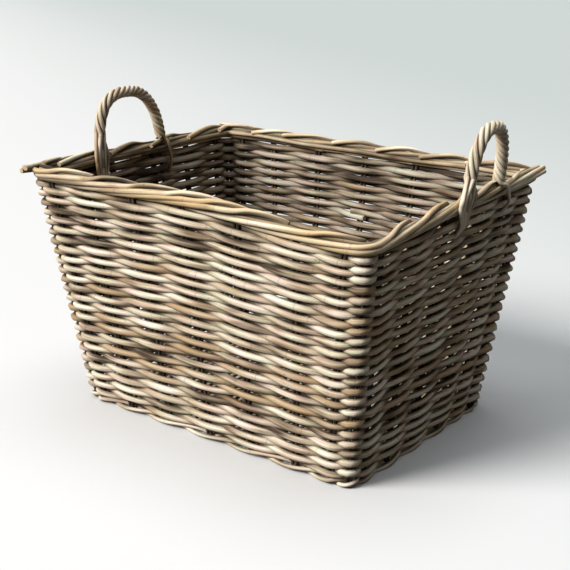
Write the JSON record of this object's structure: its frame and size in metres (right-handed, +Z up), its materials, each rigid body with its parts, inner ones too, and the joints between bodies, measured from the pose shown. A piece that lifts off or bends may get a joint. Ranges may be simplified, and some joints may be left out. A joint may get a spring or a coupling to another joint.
{
  "type": "log basket",
  "caption": "Tapered rectangular wicker log basket, thick rods in plain weave round doubled stakes, open on top, with a rolled rod border, woven base and roped loop handles at its short ends.",
  "frame": {"origin": "on the floor, under the middle of the basket", "axes": "+Z up; +X along the long sides, towards the right handle; -Y is the front long side"},
  "size_m": [0.6376, 0.466, 0.4711],
  "materials": {
    "weaver_rods": "weathered unvarnished rattan rods, greige with honey and brown streaks",
    "border_rods": "weathered straw-coloured rods, worn smooth on top",
    "stake_rods": "darker unvarnished rods, mostly hidden by the weave",
    "foot_rods": "weathered rods, scuffed where they meet the floor",
    "base_rods": "weathered rods woven flat",
    "rope_strands": "thin pliable rods roped together, pale and slightly glossy from handling"
  },
  "bodies": {
    "root": {"back_border": "border_rods", "back_siding": "weaver_rods", "back_stake_1": "stake_rods", "back_stake_2": "stake_rods", "back_stake_3": "stake_rods", "back_stake_4": "stake_rods", "back_stake_5": "stake_rods", "back_stake_6": "stake_rods", "back_stake_7": "stake_rods", "base_mat": "base_rods", "base_stick_1": "stake_rods", "base_stick_2": "stake_rods", "base_stick_3": "stake_rods", "base_stick_4": "stake_rods", "base_stick_5": "stake_rods", "base_stick_6": "stake_rods", "base_stick_7": "stake_rods", "corner_post_back_left": "stake_rods", "corner_post_back_right": "stake_rods", "corner_post_front_left": "stake_rods", "corner_post_front_right": "stake_rods", "corner_siding_back_left": "weaver_rods", "corner_siding_back_right": "weaver_rods", "corner_siding_front_left": "weaver_rods", "corner_siding_front_right": "weaver_rods", "foot_row": "foot_rods", "front_border": "border_rods", "front_siding": "weaver_rods", "front_stake_1": "stake_rods", "front_stake_2": "stake_rods", "front_stake_3": "stake_rods", "front_stake_4": "stake_rods", "front_stake_5": "stake_rods", "front_stake_6": "stake_rods", "front_stake_7": "stake_rods", "left_border": "border_rods", "left_handle_core": "stake_rods", "left_handle_rope": "rope_strands", "left_handle_tail_back": "rope_strands", "left_handle_tails_front": "rope_strands", "left_siding": "weaver_rods", "left_stake_1": "stake_rods", "left_stake_2": "stake_rods", "left_stake_3": "stake_rods", "left_stake_4": "stake_rods", "left_stake_5": "stake_rods", "left_stake_6": "stake_rods", "right_border": "border_rods", "right_handle_core": "stake_rods", "right_handle_rope": "rope_strands", "right_handle_tail_back": "rope_strands", "right_handle_tails_front": "rope_strands", "right_siding": "weaver_rods", "right_stake_1": "stake_rods", "right_stake_2": "stake_rods", "right_stake_3": "stake_rods", "right_stake_4": "stake_rods", "right_stake_5": "stake_rods", "right_stake_6": "stake_rods"}
  },
  "joints": []
}
